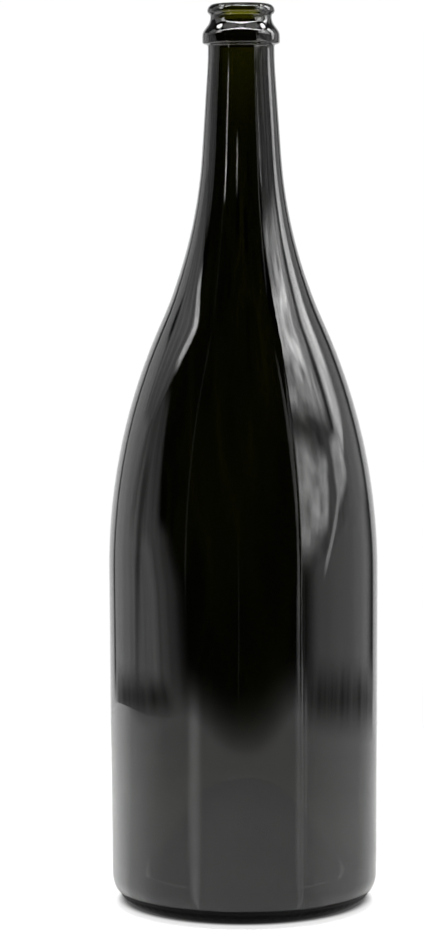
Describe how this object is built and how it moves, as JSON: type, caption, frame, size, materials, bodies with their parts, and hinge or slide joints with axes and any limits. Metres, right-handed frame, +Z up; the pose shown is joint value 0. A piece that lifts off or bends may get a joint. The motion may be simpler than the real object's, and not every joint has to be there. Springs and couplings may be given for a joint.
{
  "type": "sparkling wine bottle",
  "caption": "Tall dark green glass magnum bottle with a sloping ogee shoulder, a slim neck, a crown bead and cage ring at the open mouth, and a deep punt in the base.",
  "frame": {"origin": "centre of the base, on the plane of the bearing ring that the bottle stands on", "axes": "+Z up along the bottle's axis, from the base to the mouth; X and Y are free, since the bottle is round"},
  "size_m": [0.1127, 0.1126, 0.3761],
  "materials": {
    "dark_green_glass": "smooth moulded bottle glass, so dark a green that it looks black where it is thick and olive amber where it is thin"
  },
  "bodies": {
    "root": {"glass_bottle": "dark_green_glass"}
  },
  "joints": []
}
